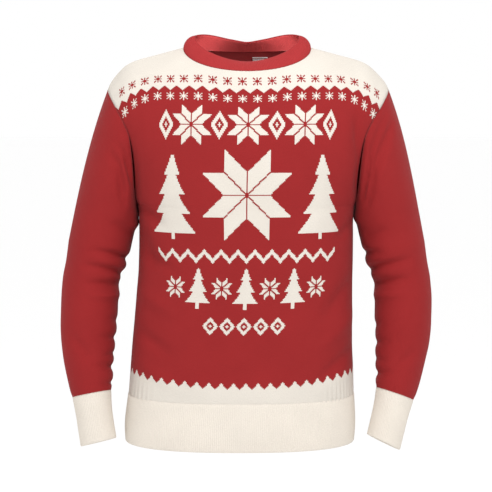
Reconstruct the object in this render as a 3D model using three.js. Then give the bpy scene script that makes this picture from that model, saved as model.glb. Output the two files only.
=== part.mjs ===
// A knitted crew-neck pullover for an adult, filled out as if it were worn, with nobody in it.
// It is made the way the real one is: a front and a back panel joined at the shoulders and sides,
// two sleeves set into the armholes, ribbed cuffs, a ribbed hem band in two halves and a ribbed
// neckband. Every piece is a wall of cloth. Millimetres, +Z up, the front faces -Y, and the wearer's
// left is +X. The origin is between the shoulders, level with the neck ends of the shoulder seams.
import * as THREE from 'three';

// Driving sizes: the wall of the plain and the ribbed knit, the gap between sewn pieces, and the cut.
const KNIT = 2.4;
const RIB = 3;
const SEAM_GAP = 0.36;
const SHOULDER_HALF = 237;
const SHOULDER_TIP_Z = -72;
const ARMPIT_Z = -262;
const HEM_SEAM_Z = -586;
const HEM_Z = -667;
const NECK_HALF = 107;
const NECK_DROP_FRONT = 38;
const NECK_DROP_BACK = 4;
const BAND_WIDTH = 29;

// The form that fills it: how square its sections are, how far below the shoulders the chest and the
// back reach their full depth, and how quickly.
const SQUARENESS = 2.4;
const CROWN_HEIGHT = 200;
const CROWN_POWER = { front: 0.65, back: 0.5 };

// How finely each piece is divided
const SHOULDER_STEPS = 5;
const NECK_STEPS = 16;
const ACROSS = NECK_STEPS + 2 * SHOULDER_STEPS;
const BODY_ROWS = 13;
const YOKE_ROWS = 12;
const AROUND_SLEEVE = 2 * YOKE_ROWS;
const CAP_ROWS = 8;

const FRONT = -1;
const BACK = 1;

// The torso at each height: half its width, its depth before and behind the side seams,
// and how far it leans to the wearer's left.
const TORSO = [
  { z: 40, reach: 340, front: 126, back: 108, lean: 0 },
  { z: -30, reach: 333, front: 127, back: 111, lean: 0.5 },
  { z: -72, reach: 330, front: 128, back: 114, lean: 2 },
  { z: -95, reach: 292, front: 129, back: 116, lean: 2 },
  { z: -118, reach: 258, front: 130, back: 117, lean: 1 },
  { z: -145, reach: 230, front: 131, back: 118, lean: 0.5 },
  { z: -172, reach: 214, front: 131, back: 117, lean: 0 },
  { z: -200, reach: 204, front: 131, back: 115, lean: -0.5 },
  { z: -215, reach: 199.5, front: 130.5, back: 113.5, lean: -0.8 },
  { z: -237, reach: 192.5, front: 129.5, back: 111, lean: -1.2 },
  { z: -250, reach: 188.5, front: 128.5, back: 109, lean: -1.4 },
  { z: -257, reach: 186, front: 128, back: 108, lean: -1.5 },
  { z: -262, reach: 183.8, front: 127.5, back: 107.5, lean: -1.5 },
  { z: -280, reach: 181.8, front: 126.5, back: 105, lean: -1.5 },
  { z: -300, reach: 181.3, front: 125, back: 103, lean: -1.5 },
  { z: -360, reach: 181.6, front: 121, back: 98, lean: -2 },
  { z: -430, reach: 184, front: 118, back: 97, lean: -5 },
  { z: -500, reach: 187.5, front: 118, back: 102, lean: -8 },
  { z: -550, reach: 190.5, front: 120, back: 109, lean: -9 },
  { z: -586, reach: 192.5, front: 121, back: 112, lean: -10 },
  { z: -640, reach: 197, front: 122, back: 113, lean: -12 },
  { z: -667, reach: 197.5, front: 121, back: 112, lean: -12.5 },
];

// The ridge that the shoulder seams follow, from the middle of the neck outwards, and a little past
// the middle so that it is smooth there.
const RIDGE = [
  { x: -60, z: 11.5 },
  { x: 0, z: 20 },
  { x: 60, z: 11.5 },
  { x: 107, z: 0 },
  { x: 152, z: -12 },
  { x: 188, z: -22 },
  { x: 204, z: -30 },
  { x: 215, z: -40 },
  { x: 225, z: -51 },
  { x: 232, z: -61 },
  { x: 237, z: -72 },
];

// Half the distance between the armholes at each height.
const ARMHOLE = [
  { z: -262, x: 183.8 },
  { z: -237, x: 186.5 },
  { z: -190, x: 189.5 },
  { z: -150, x: 194.5 },
  { z: -122, x: 206 },
  { z: -100, x: 219.5 },
  { z: -72, x: 237 },
];

// The arms below the shoulder: the middle of each section for the right and the left arm, its half
// width and half depth, how far its outer side is tilted up on the right (tiltR) and on the left
// (tiltL), and how far its front is (nod). Angles are degrees.
const ARM = [
  { z: -335, right: 251, left: 249.5, y: 4, wide: 53, deep: 60, tiltR: 10, tiltL: 10, nod: 0 },
  { z: -366, right: 257.5, left: 256, y: 6, wide: 51, deep: 58, tiltR: 8, tiltL: 7, nod: 2 },
  { z: -394, right: 265.5, left: 263.8, y: 7, wide: 48.8, deep: 56, tiltR: 4, tiltL: 2, nod: 4 },
  { z: -428, right: 268.5, left: 266.7, y: 4, wide: 48.5, deep: 54, tiltR: 1, tiltL: -2, nod: 7 },
  { z: -462, right: 269.3, left: 265.8, y: -2, wide: 48.5, deep: 52.5, tiltR: -1, tiltL: -6, nod: 10 },
  { z: -489, right: 270, left: 264.8, y: -8, wide: 46.8, deep: 50, tiltR: -3, tiltL: -9, nod: 12 },
  { z: -519, right: 269.4, left: 261, y: -14, wide: 43.8, deep: 46.5, tiltR: -5, tiltL: -13, nod: 12 },
  { z: -540, right: 267.8, left: 258.2, y: -18.5, wide: 41.3, deep: 44, tiltR: -7, tiltL: -15, nod: 12 },
  { z: -560, right: 265.8, left: 255.4, y: -22.5, wide: 38.6, deep: 41, tiltR: -9, tiltL: -17, nod: 12 },
  { z: -575, right: 264.5, left: 252.8, y: -26, wide: 36, deep: 39, tiltR: -10, tiltL: -18, nod: 12 },
  { z: -585, right: 263.5, left: 250.8, y: -28.5, wide: 33.3, deep: 36.5, tiltR: -11, tiltL: -19, nod: 12 },
  { z: -625, right: 258, left: 241, y: -37, wide: 30.8, deep: 34, tiltR: -12, tiltL: -22, nod: 12 },
  { z: -664, right: 251.5, left: 231, y: -45, wide: 31, deep: 34, tiltR: -14, tiltL: -26, nod: 12 },
];
const CUFF_Z = -585;
const CUFF_END_Z = -664;
const SLEEVE_RINGS = [
  -335, -344, -352, -360, -368, -376, -384, -393, -403,
  -420, -445, -470, -495, -520, -543, -562, -577, CUFF_Z,
];
const CUFF_RINGS = [CUFF_Z, -604, -625, -645, CUFF_END_Z];

// Folds of the body, each a soft trough from one place to another as seen from in front, or a ridge
// where the depth is negative. x is towards the wearer's left.
const FRONT_FOLDS = [
  { x: -194, z: -140, toX: -186, toZ: -238, width: 10, depth: 7 },
  { x: 174, z: -100, toX: 188, toZ: -175, width: 11, depth: 8 },
  { x: 188, z: -170, toX: 185, toZ: -245, width: 10, depth: 7 },
  { x: -160, z: -300, toX: -150, toZ: -350, width: 26, depth: 4 },
  { x: -168, z: -405, toX: -110, toZ: -440, width: 22, depth: -4 },
  { x: -176, z: -470, toX: -120, toZ: -520, width: 24, depth: 4.5 },
  { x: 172, z: -390, toX: 120, toZ: -470, width: 24, depth: 4.5 },
  { x: 174, z: -490, toX: 110, toZ: -545, width: 22, depth: -4 },
  { x: 60, z: -520, toX: -60, toZ: -545, width: 26, depth: 3 },
];
const BACK_FOLDS = [
  { x: -190, z: -140, toX: -184, toZ: -235, width: 11, depth: 7 },
  { x: 190, z: -130, toX: 185, toZ: -235, width: 11, depth: 7 },
  { x: -150, z: -330, toX: 20, toZ: -372, width: 22, depth: 5 },
  { x: 160, z: -360, toX: -30, toZ: -420, width: 22, depth: 5 },
  { x: -170, z: -440, toX: 60, toZ: -480, width: 20, depth: 5 },
  { x: 170, z: -500, toX: -50, toZ: -535, width: 20, depth: 4.5 },
  { x: 60, z: -120, toX: 120, toZ: -230, width: 24, depth: 3 },
];

// Folds of the sleeves: at the bent elbow, at the armhole and above the cuff. turn runs round the arm
// in degrees: 0 outer side, 90 front, 180 next to the body, 270 back.
const LEFT_SLEEVE_FOLDS = [
  { turn: 62, z: -108, toTurn: 125, toZ: -236, width: 8, depth: 6 },
  { turn: 66, z: -142, toTurn: 114, toZ: -256, width: 8, depth: 4.5 },
  { turn: 75, z: -365, toTurn: 195, toZ: -384, width: 8.5, depth: 7 },
  { turn: 120, z: -352, toTurn: 205, toZ: -357, width: 7.5, depth: 5 },
  { turn: 85, z: -388, toTurn: 190, toZ: -402, width: 8, depth: 4 },
  { turn: 240, z: -392, toTurn: 310, toZ: -420, width: 12, depth: 4 },
  { turn: 250, z: -150, toTurn: 225, toZ: -250, width: 10, depth: 5 },
  { turn: 130, z: -560, toTurn: 200, toZ: -572, width: 8, depth: 3.5 },
  { turn: 60, z: -500, toTurn: 110, toZ: -540, width: 12, depth: 2.5 },
];
const RIGHT_SLEEVE_FOLDS = [
  { turn: 120, z: -175, toTurn: 134, toZ: -246, width: 8, depth: 5 },
  { turn: 104, z: -190, toTurn: 126, toZ: -250, width: 8, depth: 4 },
  { turn: 86, z: -342, toTurn: 200, toZ: -364, width: 8.5, depth: 6.5 },
  { turn: 88, z: -363, toTurn: 195, toZ: -382, width: 8, depth: 6 },
  { turn: 88, z: -388, toTurn: 190, toZ: -398, width: 8, depth: 4.5 },
  { turn: 240, z: -385, toTurn: 310, toZ: -410, width: 12, depth: 4 },
  { turn: 250, z: -150, toTurn: 225, toZ: -250, width: 10, depth: 5 },
  { turn: 130, z: -548, toTurn: 200, toZ: -560, width: 8, depth: 3.5 },
  { turn: 55, z: -480, toTurn: 105, toZ: -520, width: 12, depth: 2.5 },
];
const MM_PER_TURN_DEGREE = 0.9;

// Reads a column of a table at any place along its key, on a curve that keeps between the rows.
function read(table, key, column, at) {
  const rows = table[0][key] < table[table.length - 1][key] ? table : [...table].reverse();
  const last = rows.length - 1;
  const place = THREE.MathUtils.clamp(at, rows[0][key], rows[last][key]);
  let i = 0;
  while (i < last - 1 && rows[i + 1][key] < place) i += 1;
  const slope = (k) => (rows[k + 1][column] - rows[k][column]) / (rows[k + 1][key] - rows[k][key]);
  const tangent = (k) => {
    if (k === 0) return slope(0);
    if (k === last) return slope(last - 1);
    const before = slope(k - 1);
    const after = slope(k);
    return before * after <= 0 ? 0 : (2 * before * after) / (before + after);
  };
  const span = rows[i + 1][key] - rows[i][key];
  const u = (place - rows[i][key]) / span;
  const start = rows[i][column] * (1 + 2 * u) * (1 - u) ** 2 + tangent(i) * span * u * (1 - u) ** 2;
  const end = rows[i + 1][column] * u * u * (3 - 2 * u) - tangent(i + 1) * span * u * u * (1 - u);
  return start + end;
}

// How far the cloth stands out at a place, from the folds in a table. endsOf gives the two ends of a
// fold in the same two measures as the place.
const FOLD_END_SHARE = 0.25;
function folds(table, place, endsOf) {
  let out = 0;
  for (const fold of table) {
    const line = new THREE.Line3(...endsOf(fold));
    const along = line.closestPointToPointParameter(place, true);
    const away = line.at(along, new THREE.Vector3()).distanceTo(place) / fold.width;
    const share = FOLD_END_SHARE + (1 - FOLD_END_SHARE) * Math.sin(Math.PI * along) ** 0.8;
    out -= fold.depth * share * Math.exp(-away * away);
  }
  return out;
}

const ridge = (x) => read(RIDGE, 'x', 'z', Math.abs(x));
const superRound = (value) => Math.sign(value) * Math.abs(value) ** (2 / SQUARENESS);

// A place on the torso before its folds. face is FRONT or BACK; across runs from -1 at the wearer's
// right to 1 at the left; up is 0 at the hem band, 1 at the armpits and 2 at the shoulders and neck.
const NECK_SHARE = NECK_STEPS / ACROSS;
const TINY = 1e-6;
function torso(face, across, up) {
  const size = Math.abs(across);
  const side = Math.sign(across) || 1;
  const round = superRound(Math.sin((size * Math.PI) / 2));
  let z;
  let out;
  if (up <= 1) {
    z = HEM_SEAM_Z + (ARMPIT_Z - HEM_SEAM_Z) * up;
    out = read(TORSO, 'z', 'reach', z) * round;
  } else {
    const rise = (1 - Math.cos(Math.PI * (up - 1))) / 2;
    const drop = face === FRONT ? NECK_DROP_FRONT : NECK_DROP_BACK;
    const turn = (size / NECK_SHARE) * (Math.PI / 2);
    const shoulder = (size - NECK_SHARE) / (1 - NECK_SHARE);
    const inNeck = size < NECK_SHARE;
    const topX = inNeck ? NECK_HALF * Math.sin(turn) : NECK_HALF + (SHOULDER_HALF - NECK_HALF) * shoulder;
    const topZ = inNeck ? -drop * Math.cos(turn) : ridge(topX);
    const edgeZ = ARMPIT_Z + (SHOULDER_TIP_Z - ARMPIT_Z) * rise;
    z = ARMPIT_Z + (topZ - ARMPIT_Z) * rise;
    out = read(ARMHOLE, 'z', 'x', edgeZ) * ((1 - rise) * round + (rise * topX) / SHOULDER_HALF);
  }
  const reach = read(TORSO, 'z', 'reach', z);
  const deep = read(TORSO, 'z', face === FRONT ? 'front' : 'back', z);
  const section = Math.max(0, 1 - (out / reach) ** SQUARENESS) ** (1 / SQUARENESS);
  const crown = THREE.MathUtils.clamp((ridge(out) - z) / CROWN_HEIGHT, 0, 1);
  const bulge = (1 - (1 - crown) ** 2) ** CROWN_POWER[face === FRONT ? 'front' : 'back'];
  return new THREE.Vector3(read(TORSO, 'z', 'lean', z) + side * out, face * deep * section * bulge, z);
}

// The outward direction of a surface, from places a little to each side, kept inside its edges.
function outward(surface, a, b, low, high) {
  const step = 1e-3;
  const alongA = surface(Math.min(a + step, high[0]), b).sub(surface(Math.max(a - step, low[0]), b));
  const alongB = surface(a, Math.min(b + step, high[1])).sub(surface(a, Math.max(b - step, low[1])));
  return alongA.cross(alongB).normalize();
}

// The outer and inner place of the cloth of the torso. Folds die away towards the seams.
const SIDE_HOLD = 6;
const SHOULDER_HOLD = 5;
function torsoCloth(face, across, up, wall) {
  const base = torso(face, across, up);
  const normal = outward((a, b) => torso(face, a, b), across, up, [-1, 0], [1, 2]);
  if (face === BACK) normal.negate();
  const shoulderSeam = up === 2 && Math.abs(across) > NECK_SHARE - TINY;
  const sideSeam = Math.abs(across) === 1 && up <= 1;
  if (sideSeam) normal.setY(0).normalize();
  if (up === 0) normal.setZ(0).normalize();
  if (shoulderSeam) {
    const near = Math.abs(base.x - read(TORSO, 'z', 'lean', base.z)) - 1;
    normal.set(Math.sign(across) * (ridge(near) - ridge(near + 1)), 0, 1).normalize();
  }
  const table = face === FRONT ? FRONT_FOLDS : BACK_FOLDS;
  const ends = (fold) => [new THREE.Vector3(fold.x, 0, fold.z), new THREE.Vector3(fold.toX, 0, fold.toZ)];
  const bySide = sideSeam ? 0 : Math.min(1, (1 - Math.abs(across)) * SIDE_HOLD + (up > 1 ? 0.5 : 0));
  const byShoulder = Math.min(1, (2 - up) * SHOULDER_HOLD);
  const stand = folds(table, new THREE.Vector3(base.x, 0, base.z), ends) * bySide * byShoulder;
  return {
    outer: base.clone().addScaledVector(normal, stand),
    inner: base.clone().addScaledVector(normal, stand - wall),
  };
}

// A place on the section of an arm at a height. turn is in radians and runs as in the fold tables.
function armSection(side, turn, z) {
  const size = (name) => read(ARM, 'z', name, z);
  const tilt = THREE.MathUtils.degToRad(size(side > 0 ? 'tiltL' : 'tiltR'));
  const nod = THREE.MathUtils.degToRad(size('nod'));
  const lateral = new THREE.Vector3(side * Math.cos(tilt), 0, Math.sin(tilt));
  const forward = new THREE.Vector3(0, -Math.cos(nod), Math.sin(nod));
  return new THREE.Vector3(side * size(side > 0 ? 'left' : 'right'), size('y'), z)
    .addScaledVector(lateral, size('wide') * Math.cos(turn))
    .addScaledVector(forward, size('deep') * Math.sin(turn));
}

// A place on a sleeve. turn is in radians; down is 0 at the armhole, 1 at the first full section,
// and past that it is the height itself, below zero. From the armhole the cloth sets off mostly
// downwards, further out at the top of the shoulder than under the arm.
const CAP_PULL = 1 / 3;
const CAP_OUT = 0.17;
const CAP_OUT_AT_TOP = 0.18;
const CAP_FORWARD = 0.22;
const CAP_DOWN = 0.9;
const ARM_OUT = 0.2;
const ARM_DOWN = 0.98;
const armholeUp = (turn) => 1 + Math.acos(THREE.MathUtils.clamp(-Math.cos(turn), -1, 1)) / Math.PI;
function sleeve(side, turn, down) {
  if (down < 0) return armSection(side, turn, down);
  const face = Math.sin(turn) >= 0 ? FRONT : BACK;
  const up = armholeUp(turn);
  const start = torso(face, side, up);
  start.add(new THREE.Vector3(side * SEAM_GAP, 0, -SEAM_GAP / 3));
  const end = armSection(side, turn, ARM[0].z);
  const pull = start.distanceTo(end) * CAP_PULL;
  const outBy = CAP_OUT + CAP_OUT_AT_TOP * Math.cos(turn);
  const leave = new THREE.Vector3(side * outBy, -CAP_FORWARD * Math.sin(turn), -CAP_DOWN);
  const arrive = new THREE.Vector3(side * ARM_OUT, 0, -ARM_DOWN);
  const near = start.clone().addScaledVector(leave.normalize(), pull);
  const far = end.clone().addScaledVector(arrive, -pull);
  return new THREE.CubicBezierCurve3(start, near, far, end).getPoint(down);
}

// The outer and inner place of the cloth of a sleeve or cuff.
const ARMHOLE_HOLD = 6;
const CUFF_HOLD_MM = 12;
function sleeveCloth(side, turn, down, wall) {
  const base = sleeve(side, turn, down);
  const step = 1e-3;
  const onArm = down < 0;
  const lower = onArm ? down - step : Math.min(down + step, 1);
  const upper = onArm ? Math.min(down + step, ARM[0].z) : Math.max(down - step, 0);
  const around = sleeve(side, turn + step, down).sub(sleeve(side, turn - step, down));
  const downwards = sleeve(side, turn, lower).sub(sleeve(side, turn, upper));
  const normal = around.cross(downwards).normalize().multiplyScalar(side);
  if (down === 0) {
    const face = Math.sin(turn) >= 0 ? FRONT : BACK;
    const edge = torsoCloth(face, side, armholeUp(turn), 1);
    const seamNormal = edge.outer.sub(edge.inner);
    if (seamNormal.dot(normal) > 0.5) normal.copy(seamNormal);
  }
  const degrees = THREE.MathUtils.euclideanModulo(THREE.MathUtils.radToDeg(turn), 360);
  const table = side > 0 ? LEFT_SLEEVE_FOLDS : RIGHT_SLEEVE_FOLDS;
  const place = (foldTurn, z) => new THREE.Vector3(foldTurn * MM_PER_TURN_DEGREE, 0, z);
  const ends = (fold) => [place(fold.turn, fold.z), place(fold.toTurn, fold.toZ)];
  const hold = onArm ? Math.min(1, (down - CUFF_Z) / CUFF_HOLD_MM) : Math.min(1, down * ARMHOLE_HOLD);
  const stand = folds(table, place(degrees, base.z), ends) * Math.max(0, hold);
  return {
    outer: base.clone().addScaledVector(normal, stand),
    inner: base.clone().addScaledVector(normal, stand - wall),
  };
}

// The neckband: it starts on the neck edge of the panels, rises and curves in over the neck. Its
// slope above the horizon is given where it starts and at its top edge, at places round the neck from
// 0 degrees at the middle of the back to 180 at the middle of the front, and a little past both.
const BAND = [
  { around: -25, start: 47, top: 31 },
  { around: 0, start: 36, top: 22 },
  { around: 25, start: 47, top: 31 },
  { around: 50, start: 70, top: 46 },
  { around: 90, start: 84, top: 12 },
  { around: 135, start: 64, top: 14 },
  { around: 180, start: 48, top: 16 },
  { around: 225, start: 64, top: 14 },
];
function neckbandCloth(turn, rise, wall) {
  const face = Math.cos(turn) > 0 ? BACK : FRONT;
  const across = (NECK_SHARE * Math.asin(Math.sin(turn))) / (Math.PI / 2);
  if (rise === 0) return torsoCloth(face, across, 2, KNIT);
  const seam = torso(face, across, 2);
  const around = THREE.MathUtils.radToDeg(Math.acos(Math.cos(turn)));
  const start = THREE.MathUtils.degToRad(read(BAND, 'around', 'start', around));
  const bend = THREE.MathUtils.degToRad(read(BAND, 'around', 'top', around)) - start;
  const angle = start + bend * rise;
  const inwardBy = (BAND_WIDTH * (Math.sin(angle) - Math.sin(start))) / bend;
  const upBy = (BAND_WIDTH * (Math.cos(start) - Math.cos(angle))) / bend;
  const inward = new THREE.Vector3(-seam.x, -seam.y, 0).normalize();
  const normal = inward.clone().multiplyScalar(-Math.sin(angle)).setZ(Math.cos(angle));
  const outer = seam.clone().addScaledVector(inward, inwardBy).setZ(seam.z + upBy);
  return { outer, inner: outer.clone().addScaledVector(normal, -wall) };
}

// Moves the edge of a grid of places back from a seam, along the cloth and square to the edge.
function pullBack(edge, next, isRing, by = SEAM_GAP / 2) {
  const last = edge.length - 1;
  const moves = edge.map((place, i) => {
    const before = edge[isRing ? (i + last) % edge.length : Math.max(i - 1, 0)];
    const after = edge[isRing ? (i + 1) % edge.length : Math.min(i + 1, last)];
    return ['outer', 'inner'].map((layer) => {
      const along = after[layer].clone().sub(before[layer]).normalize();
      const inwards = next[i][layer].clone().sub(place[layer]);
      return inwards.addScaledVector(along, -inwards.dot(along)).setLength(by);
    });
  });
  edge.forEach((place, i) => {
    place.outer.add(moves[i][0]);
    place.inner.add(moves[i][1]);
  });
}

const column = (grid, c) => grid.map((row) => row[c]);

// Moves back the edges of a grid that meet another piece: its first and last rows, and the sides of
// one that isn't a ring.
function openEdges(grid, { first = true, last = true, isRing = false, by }) {
  const top = grid.length - 1;
  const right = grid[0].length - 1;
  if (first) pullBack(grid[0], grid[1], isRing, by);
  if (last) pullBack(grid[top], grid[top - 1], isRing, by);
  if (!isRing) {
    pullBack(column(grid, 0), column(grid, 1), false);
    pullBack(column(grid, right), column(grid, right - 1), false);
  }
  return grid;
}

// Keeps a front or back piece on its own side of the side and shoulder seams.
function keepSide(grid, face) {
  for (const place of grid.flat())
    for (const layer of ['outer', 'inner'])
      place[layer].y = face * Math.max(face * place[layer].y, SEAM_GAP / 2);
  return grid;
}

// A closed wall of cloth from a grid of outer and inner places, as a panel or as a tube. The rows of
// the grid run up and its columns run to the right as seen from outside. Each four-sided cell is cut
// in two, and mirrored says for a column whether it is cut the other way.
function wallGeometry(grid, isTube, mirrored = () => false) {
  const rows = grid.length;
  const columns = grid[0].length;
  const positions = [];
  for (const layer of ['outer', 'inner'])
    for (const row of grid) for (const place of row) positions.push(...place[layer].toArray());
  const layerSize = rows * columns;
  const at = (layer, r, c) => layer * layerSize + r * columns + (c % columns);
  const faces = [];
  const quad = (a, b, c, d, otherWay) => {
    if (otherWay) faces.push(a, b, d, b, c, d);
    else faces.push(a, b, c, a, c, d);
  };
  const spans = isTube ? columns : columns - 1;
  for (let c = 0; c < spans; c += 1) {
    const other = mirrored(c / spans);
    for (let r = 0; r < rows - 1; r += 1) {
      quad(at(0, r, c), at(0, r, c + 1), at(0, r + 1, c + 1), at(0, r + 1, c), other);
      quad(at(1, r, c), at(1, r + 1, c), at(1, r + 1, c + 1), at(1, r, c + 1), other);
    }
    quad(at(0, 0, c), at(1, 0, c), at(1, 0, c + 1), at(0, 0, c + 1), other);
    quad(at(0, rows - 1, c), at(0, rows - 1, c + 1), at(1, rows - 1, c + 1), at(1, rows - 1, c), !other);
  }
  if (!isTube)
    for (let r = 0; r < rows - 1; r += 1) {
      quad(at(1, r, 0), at(0, r, 0), at(0, r + 1, 0), at(1, r + 1, 0));
      quad(at(0, r, spans), at(1, r, spans), at(1, r + 1, spans), at(0, r + 1, spans));
    }
  const geometry = new THREE.BufferGeometry();
  geometry.setAttribute('position', new THREE.Float32BufferAttribute(positions, 3));
  geometry.setIndex(faces);
  return geometry;
}

const steps = (count) => Array.from({ length: count + 1 }, (_, i) => i / count);

const firstHalf = (place) => place < 1 / 2;

function panel(face) {
  const ups = [...steps(BODY_ROWS), ...steps(YOKE_ROWS).slice(1).map((u) => 1 + u)];
  const columns = steps(ACROSS).map((u) => face * (1 - 2 * u));
  const grid = ups.map((up) => columns.map((across) => torsoCloth(face, across, up, KNIT)));
  return wallGeometry(keepSide(openEdges(grid, {}), face), false, firstHalf);
}

// The hem band: it stands a little proud of the panels and draws in at its lower edge.
const HEM_ROWS = 4;
const HEM_PROUD = 0.6;
const HEM_DRAW_IN = 2.2;
function hemBand(face) {
  const columns = steps(ACROSS).map((u) => face * (1 - 2 * u));
  const grid = steps(HEM_ROWS).map((rise) =>
    columns.map((across) => {
      const z = HEM_Z + (HEM_SEAM_Z - HEM_Z) * rise;
      const angle = (Math.abs(across) * Math.PI) / 2;
      const proud = HEM_PROUD - HEM_DRAW_IN * (1 - rise) ** 4;
      const reach = read(TORSO, 'z', 'reach', z) + proud;
      const deep = read(TORSO, 'z', face === FRONT ? 'front' : 'back', z) + proud;
      const lean = read(TORSO, 'z', 'lean', z);
      const place = (inset) => {
        const out = Math.sign(across) * (reach - inset) * superRound(Math.sin(angle));
        return new THREE.Vector3(lean + out, face * (deep - inset) * superRound(Math.cos(angle)), z);
      };
      return { outer: place(0), inner: place(RIB) };
    }),
  );
  return wallGeometry(keepSide(openEdges(grid, { first: false }), face), false, firstHalf);
}

const turnsAround = (count, way) => steps(count).slice(0, -1).map((u) => -way * 2 * Math.PI * u);

function sleeveTube(side) {
  const turns = turnsAround(AROUND_SLEEVE, side);
  const downs = [...SLEEVE_RINGS.slice(1).reverse(), ...steps(CAP_ROWS).reverse()];
  const grid = downs.map((down) => turns.map((turn) => sleeveCloth(side, turn, down, KNIT)));
  return wallGeometry(openEdges(grid, { last: false, isRing: true }), true);
}

function cuffTube(side) {
  const turns = turnsAround(AROUND_SLEEVE, side);
  const grid = [...CUFF_RINGS].reverse().map((z) => turns.map((turn) => sleeveCloth(side, turn, z, RIB)));
  return wallGeometry(openEdges(grid, { first: false, isRing: true }), true);
}

const BAND_ROWS = 4;
function neckbandRing() {
  const turns = turnsAround(2 * NECK_STEPS, 1);
  const grid = steps(BAND_ROWS).map((rise) => turns.map((turn) => neckbandCloth(turn, rise, RIB)));
  const everySecondQuarter = (place) => Math.floor(4 * place) % 2 === 1;
  return wallGeometry(openEdges(grid, { last: false, isRing: true, by: SEAM_GAP }), true, everySecondQuarter);
}

// The label lies inside the back panel, just below the neckband.
const LABEL = { x: 22, top: 10, width: 26, height: 30, thick: 1, clear: 0.9 };
const LABEL_STEPS = 6;
function neckLabel() {
  const downFromNeck = (mm) => 2 - Math.acos(1 - (2 * mm) / -ARMPIT_Z) / Math.PI;
  const acrossAt = (x) => (NECK_SHARE * Math.asin(x / NECK_HALF)) / (Math.PI / 2);
  const grid = steps(LABEL_STEPS).map((rise) =>
    steps(LABEL_STEPS).map((u) => {
      const across = acrossAt(LABEL.x + LABEL.width * (u - 0.5));
      const up = downFromNeck(LABEL.top + LABEL.height * (1 - rise));
      return {
        outer: torsoCloth(BACK, across, up, KNIT + LABEL.clear + LABEL.thick).inner,
        inner: torsoCloth(BACK, across, up, KNIT + LABEL.clear).inner,
      };
    }),
  );
  return wallGeometry(grid, false);
}

const RED_KNIT = { color: '#b23238', roughness: 0.95, metalness: 0 };
const RED_RIB = { color: '#b8423f', roughness: 0.92, metalness: 0 };
const CREAM_RIB = { color: '#f0e6d4', roughness: 0.95, metalness: 0 };
const WHITE_SATIN = { color: '#f4f2ee', roughness: 0.6, metalness: 0 };

const sweater = new THREE.Group();
const add = (name, geometry, look) => {
  const mesh = new THREE.Mesh(geometry, new THREE.MeshStandardMaterial(look));
  mesh.name = name;
  sweater.add(mesh);
};
const WEARER_LEFT = 1;
const WEARER_RIGHT = -1;
add('front_panel', panel(FRONT), RED_KNIT);
add('back_panel', panel(BACK), RED_KNIT);
add('sleeve_left', sleeveTube(WEARER_LEFT), RED_KNIT);
add('sleeve_right', sleeveTube(WEARER_RIGHT), RED_KNIT);
add('cuff_left', cuffTube(WEARER_LEFT), CREAM_RIB);
add('cuff_right', cuffTube(WEARER_RIGHT), CREAM_RIB);
add('hem_band_front', hemBand(FRONT), CREAM_RIB);
add('hem_band_back', hemBand(BACK), CREAM_RIB);
add('neckband', neckbandRing(), RED_RIB);
add('neck_label', neckLabel(), WHITE_SATIN);

export default sweater;
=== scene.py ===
import math

import bpy
import numpy as np
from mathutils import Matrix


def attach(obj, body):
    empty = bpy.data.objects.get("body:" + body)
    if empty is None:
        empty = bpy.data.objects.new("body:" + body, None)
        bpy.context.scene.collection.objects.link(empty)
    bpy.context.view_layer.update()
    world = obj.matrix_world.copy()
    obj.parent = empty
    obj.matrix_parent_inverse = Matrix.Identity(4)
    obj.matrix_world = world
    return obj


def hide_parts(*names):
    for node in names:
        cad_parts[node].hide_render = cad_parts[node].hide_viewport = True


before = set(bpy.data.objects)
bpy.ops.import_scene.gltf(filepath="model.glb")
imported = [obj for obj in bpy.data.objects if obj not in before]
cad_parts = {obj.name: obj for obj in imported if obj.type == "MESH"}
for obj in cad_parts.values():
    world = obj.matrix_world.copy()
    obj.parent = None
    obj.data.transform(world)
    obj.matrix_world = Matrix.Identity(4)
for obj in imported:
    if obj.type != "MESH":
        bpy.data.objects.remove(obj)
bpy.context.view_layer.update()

# Front panel: fine plain knit in red wool with a cream yoke, knitted in two colours and joined to
# the back at the shoulders and sides. The cloth is one closed wall, shaped by the form that fills
# it, with the folds of a worn garment. Sizes here are millimetres until the mesh is made.
KNIT_WALL = 2.4
HEM_SEAM_Z, ARMPIT_Z, SHOULDER_TIP_Z = -586, -262, -72
SHOULDER_HALF, NECK_HALF = 237, 107
NECK_DROP = {"front": 38, "back": 4}
NECK_SHARE = 16 / 26
SQUARENESS, CROWN_HEIGHT = 2.4, 200
CROWN_POWER = {"front": 0.65, "back": 0.5}
FACING = {"front": -1, "back": 1}
# A fold keeps this share of its depth at its ends, and swells by this power in between.
FOLD_END, FOLD_SWELL = 0.25, 0.8


def sizes(columns, rows):
    return dict(zip(columns.split(), np.array(sorted(rows), float).T))


TORSO = sizes("z reach front back lean", [
    (40, 340, 126, 108, 0), (-30, 333, 127, 111, 0.5), (-72, 330, 128, 114, 2),
    (-95, 292, 129, 116, 2), (-118, 258, 130, 117, 1), (-145, 230, 131, 118, 0.5),
    (-172, 214, 131, 117, 0), (-200, 204, 131, 115, -0.5), (-215, 199.5, 130.5, 113.5, -0.8),
    (-237, 192.5, 129.5, 111, -1.2), (-250, 188.5, 128.5, 109, -1.4), (-257, 186, 128, 108, -1.5),
    (-262, 183.8, 127.5, 107.5, -1.5), (-280, 181.8, 126.5, 105, -1.5), (-300, 181.3, 125, 103, -1.5),
    (-360, 181.6, 121, 98, -2), (-430, 184, 118, 97, -5), (-500, 187.5, 118, 102, -8),
    (-550, 190.5, 120, 109, -9), (-586, 192.5, 121, 112, -10), (-640, 197, 122, 113, -12),
    (-667, 197.5, 121, 112, -12.5),
])
RIDGE = sizes("x z", [
    (-60, 11.5), (0, 20), (60, 11.5), (107, 0), (152, -12), (188, -22), (204, -30), (215, -40), (225, -51),
    (232, -61), (237, -72),
])
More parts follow.
